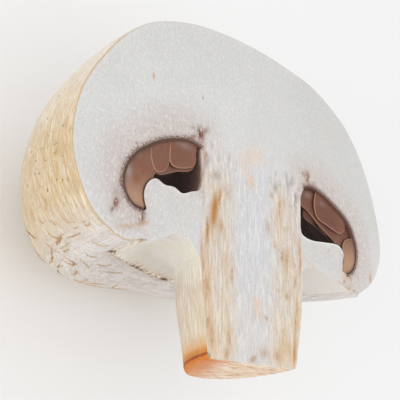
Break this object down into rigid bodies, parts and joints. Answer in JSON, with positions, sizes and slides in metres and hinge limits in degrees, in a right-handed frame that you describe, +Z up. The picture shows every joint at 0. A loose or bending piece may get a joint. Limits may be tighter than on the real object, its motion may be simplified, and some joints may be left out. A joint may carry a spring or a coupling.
{
  "type": "button mushroom half",
  "caption": "Half a closed-cap button mushroom, cut lengthways through cap and stem, with the gill chamber open at the cut.",
  "frame": {"origin": "middle of the outline seen from above, on the surface that the half lies on", "axes": "+X across the cap, left to right in the cut face; +Y along the stem towards the crown of the cap; +Z up, out of the cut face"},
  "size_m": [0.05, 0.0358, 0.0241],
  "materials": {
    "mushroom_flesh": "stands for raw mushroom flesh: cut face cool white and finely granular, skin cream to tan and dry, stem end orange-brown",
    "gills": "stands for raw mushroom gills: warm brown, smooth and slightly damp"
  },
  "bodies": {
    "root": {"mushroom_flesh": "mushroom_flesh", "gills": "gills"}
  },
  "joints": []
}
